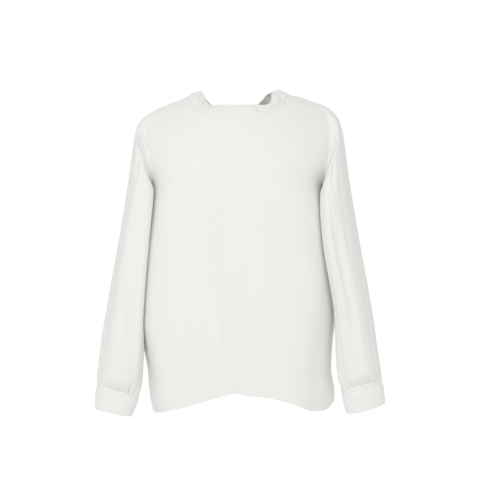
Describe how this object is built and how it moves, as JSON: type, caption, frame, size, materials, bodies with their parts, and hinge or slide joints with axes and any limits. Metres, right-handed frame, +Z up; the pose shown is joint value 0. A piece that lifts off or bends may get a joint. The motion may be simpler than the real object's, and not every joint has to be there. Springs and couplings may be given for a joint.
{
  "type": "silk blouse",
  "caption": "Plain silk blouse filled out as worn: long full sleeves gathered into closed cuffs, soft standing collar closed at the nape.",
  "frame": {"origin": "middle of the neck opening, level with the tops of the shoulders, where the wearer holds the blouse up", "axes": "+Z up along the body, -Y towards the wearer's front, +X to the right of someone who faces that front"},
  "size_m": [0.5876, 0.2301, 0.6643],
  "materials": {
    "silk": "ivory crepe silk, matt with a soft sheen",
    "covered_button": "button covered in the same silk",
    "thread": "ivory silk thread"
  },
  "bodies": {
    "root": {"front": "silk", "back": "silk", "sleeve_left": "silk", "sleeve_right": "silk", "cuff_left": "silk", "cuff_right": "silk", "collar": "silk", "back_button": "covered_button", "button_loop": "thread"}
  },
  "joints": []
}
